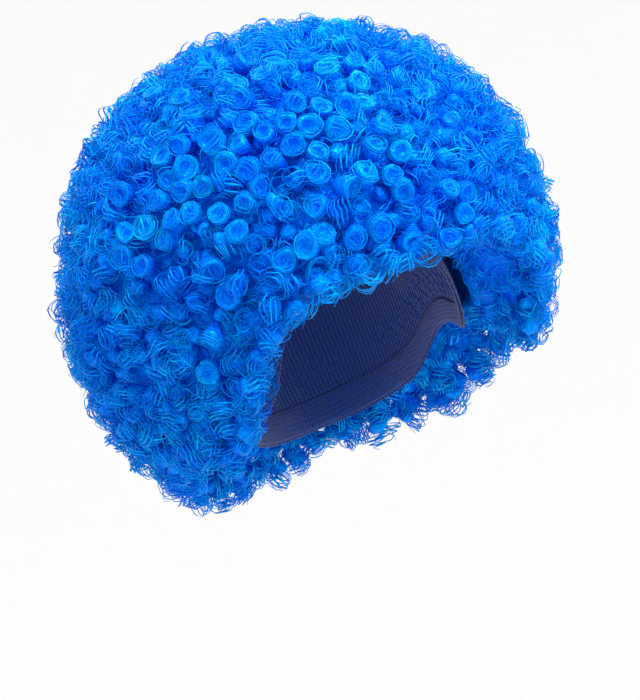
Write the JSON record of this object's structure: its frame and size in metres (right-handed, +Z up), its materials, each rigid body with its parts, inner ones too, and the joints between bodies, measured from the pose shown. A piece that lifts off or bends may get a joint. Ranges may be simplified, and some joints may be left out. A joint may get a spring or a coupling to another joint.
{
  "type": "clown wig",
  "caption": "Round curly clown wig: knitted head cap with an elastic edge band and rings of curly synthetic hair that stand out to a ball, open at the face and neck.",
  "frame": {"origin": "Where the top of the wearer's head touches the inside of the cap, on the wig's mirror plane.", "axes": "+Z up along the head, -Y the way the wearer looks, +X the wearer's left."},
  "size_m": [0.3238, 0.3415, 0.2885],
  "materials": {
    "hair": "glossy curled synthetic fibre, bright azure blue",
    "cap_net": "matt knitted net, dark blue",
    "elastic": "matt woven elastic with ribs along it, dark blue"
  },
  "bodies": {
    "root": {"cap": "cap_net", "edge_band": "elastic", "crown_tuft": "hair", "weft_1": "hair", "weft_2": "hair", "weft_3": "hair", "weft_4": "hair", "weft_5": "hair", "weft_6": "hair", "weft_7": "hair", "weft_8": "hair"}
  },
  "joints": []
}
